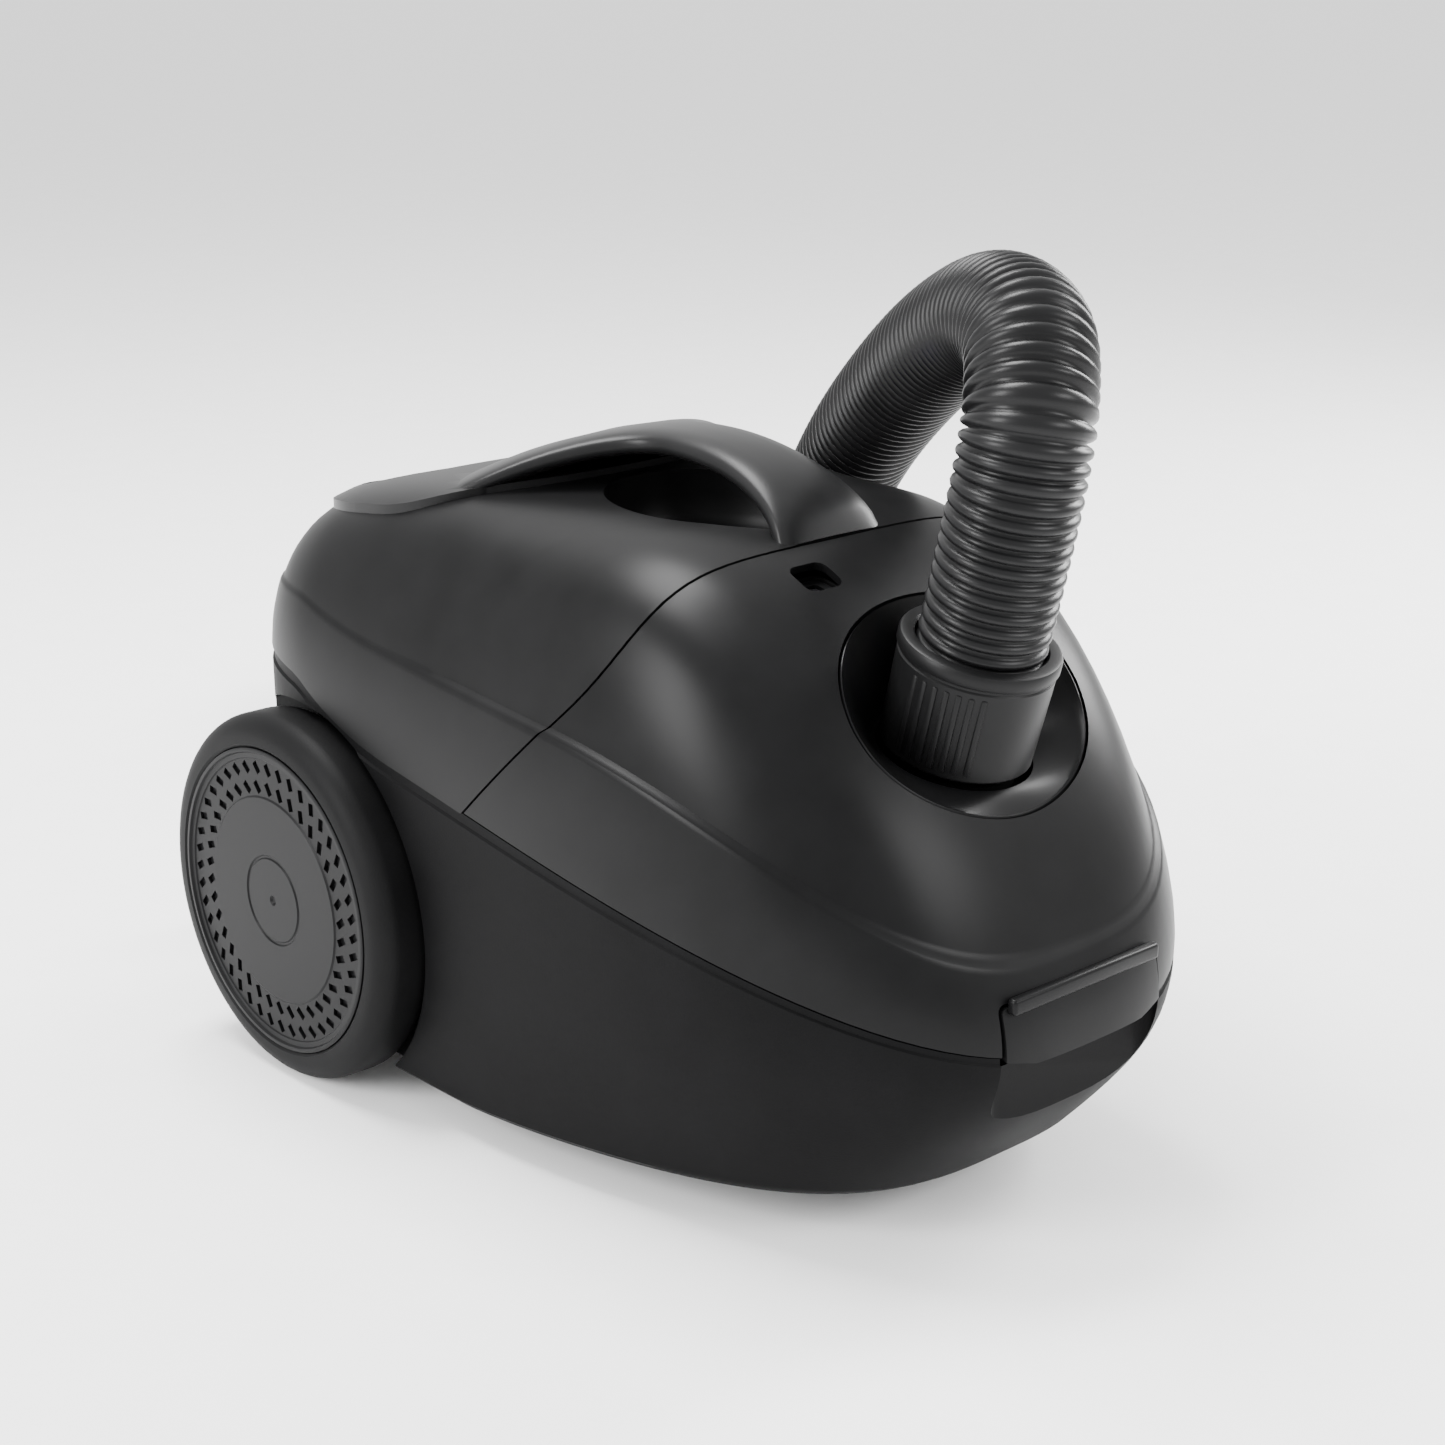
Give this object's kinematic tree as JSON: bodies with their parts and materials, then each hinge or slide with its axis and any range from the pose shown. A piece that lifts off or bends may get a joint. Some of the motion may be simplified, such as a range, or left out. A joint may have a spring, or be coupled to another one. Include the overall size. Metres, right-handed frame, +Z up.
{
  "type": "canister vacuum cleaner",
  "caption": "Black canister vacuum cleaner with hinged lid, strap handle, large rear wheels, front caster and a ribbed suction hose plugged into the lid.",
  "frame": {"origin": "middle of the footprint of the vacuum cleaner without its hose, on the floor", "axes": "+Y from the nose with the latch to the rear wheels, +Z up, +X to the right seen from behind"},
  "size_m": [0.453, 0.7419, 0.3383],
  "materials": {
    "casing": "fine matt",
    "satin_shell": "satin",
    "dark_plastic": "matt",
    "cap_plastic": "satin",
    "rubber": "matt",
    "tyre": "matt",
    "window": "smoked gloss",
    "steel": "brushed",
    "spring_steel": "drawn wire and strip",
    "motor_can": "satin",
    "winding": "enamelled wire",
    "filter": "felt",
    "bag": "paper fleece",
    "inner_plastic": "matt",
    "board": "laminate",
    "flag": "gloss",
    "button": "satin",
    "hose": "satin ribbed",
    "cuff": "satin"
  },
  "bodies": {
    "base": {"lower_casing": "casing", "rear_cover": "casing", "carry_handle": "satin_shell", "window_lens": "window", "window_bezel": "satin_shell", "hinge_brackets": "dark_plastic", "hinge_pins": "steel", "motor_bulkhead": "dark_plastic", "motor_housing": "motor_can", "motor_stator": "motor_can", "motor_bearings": "steel", "motor_mounts": "rubber", "brush_holders": "dark_plastic", "pre_motor_filter": "filter", "bag_holder": "inner_plastic", "dust_bag": "bag", "exhaust_grille": "dark_plastic", "exhaust_filter": "filter", "reel_axle": "steel", "control_board": "board", "cord_outlet": "dark_plastic", "stub_axles": "steel", "caster_socket": "dark_plastic", "button_springs": "spring_steel", "case_screws": "steel", "suction_hose": "hose", "hose_collar": "cuff", "hose_grip": "cuff"},
    "wheel_left": {"wheel_rim_left": "cap_plastic", "tyre_left": "tyre", "wheel_cap_left": "cap_plastic"},
    "wheel_right": {"wheel_rim_right": "cap_plastic", "tyre_right": "tyre", "wheel_cap_right": "cap_plastic"},
    "caster": {"caster_fork": "casing", "caster_axle": "steel"},
    "caster_roller": {"caster_wheel": "rubber"},
    "lid": {"lid_shell": "satin_shell", "lid_arms": "dark_plastic", "inlet_bowl": "satin_shell", "inlet_tube": "dark_plastic", "inlet_seal": "rubber", "lid_seal": "rubber", "indicator_window": "window", "latch_pin": "steel", "latch_spring": "spring_steel"},
    "latch": {"latch_lever": "casing"},
    "flag": {"indicator_flag": "flag"},
    "cuff": {"hose_cuff": "cuff"},
    "cuff_release": {"cuff_button": "dark_plastic"},
    "power": {"power_button": "button"},
    "rewind": {"rewind_button": "button"},
    "brake": {"reel_brake": "inner_plastic"},
    "reel": {"cable_reel": "inner_plastic", "reel_spring": "spring_steel"},
    "rotor": {"motor_shaft": "steel", "armature": "winding", "fan_impeller": "motor_can"},
    "slider": {"grip_slider": "inner_plastic"}
  },
  "joints": [
    {"name": "wheel_left_spin", "type": "hinge", "parent": "base", "child": "wheel_left", "pos_m": [-0.102, 0.118, 0.075], "axis": [1, 0, 0], "continuous": true},
    {"name": "wheel_right_spin", "type": "hinge", "parent": "base", "child": "wheel_right", "pos_m": [0.102, 0.118, 0.075], "axis": [1, 0, 0], "continuous": true},
    {"name": "caster_swivel", "type": "hinge", "parent": "base", "child": "caster", "pos_m": [0, -0.127, 0.02], "axis": [0, 0, 1], "continuous": true},
    {"name": "caster_roll", "type": "hinge", "parent": "caster", "child": "caster_roller", "pos_m": [0, -0.118, 0.011], "axis": [1, 0, 0], "continuous": true},
    {"name": "lid_hinge", "type": "hinge", "parent": "base", "child": "lid", "pos_m": [0, -0.03, 0.227], "axis": [-1, 0, 0], "range_deg": [0, 60], "deforming": ["suction_hose"]},
    {"name": "latch_pull", "type": "hinge", "parent": "lid", "child": "latch", "pos_m": [0, -0.189, 0.104], "axis": [-1, 0, 0], "range_deg": [0, 20], "stiffness_Nm_per_rad": 0.3, "springref_deg": -5.73},
    {"name": "flag_tilt", "type": "hinge", "parent": "lid", "child": "flag", "pos_m": [-0.027, -0.08085, 0.21929], "axis": [1, 0, 0], "range_deg": [0, 35], "stiffness_Nm_per_rad": 0.002, "springref_deg": -5.73},
    {"name": "cuff_swivel", "type": "hinge", "parent": "lid", "child": "cuff", "pos_m": [0, -0.126, 0.171], "axis": [0, -0.2588, 0.9659], "continuous": true},
    {"name": "cuff_button_press", "type": "slide", "parent": "cuff", "child": "cuff_release", "axis": [-1, 0, 0], "range_m": [0, 0.0012], "stiffness_N_per_m": 300, "springref_m": -0.001},
    {"name": "power_press", "type": "slide", "parent": "base", "child": "power", "axis": [0, 0, -1], "range_m": [0, 0.003], "stiffness_N_per_m": 400, "springref_m": -0.002},
    {"name": "rewind_press", "type": "slide", "parent": "base", "child": "rewind", "axis": [0, 0, -1], "range_m": [0, 0.003], "stiffness_N_per_m": 400, "springref_m": -0.002},
    {"name": "brake_lift", "type": "slide", "parent": "base", "child": "brake", "axis": [0, 0, 1], "range_m": [0, 0.002]},
    {"name": "reel_spin", "type": "hinge", "parent": "base", "child": "reel", "pos_m": [0, 0.13, 0.074], "axis": [0, 1, 0], "continuous": true},
    {"name": "rotor_spin", "type": "hinge", "parent": "base", "child": "rotor", "pos_m": [0, 0.016, 0.086], "axis": [0, 1, 0], "continuous": true},
    {"name": "grip_slide", "type": "slide", "parent": "base", "child": "slider", "axis": [0, 1, 0], "range_m": [0, 0.009]}
  ],
  "couplings": [
    {"joint": "brake_lift", "follows": "rewind_press", "ratio": 0.66667}
  ]
}
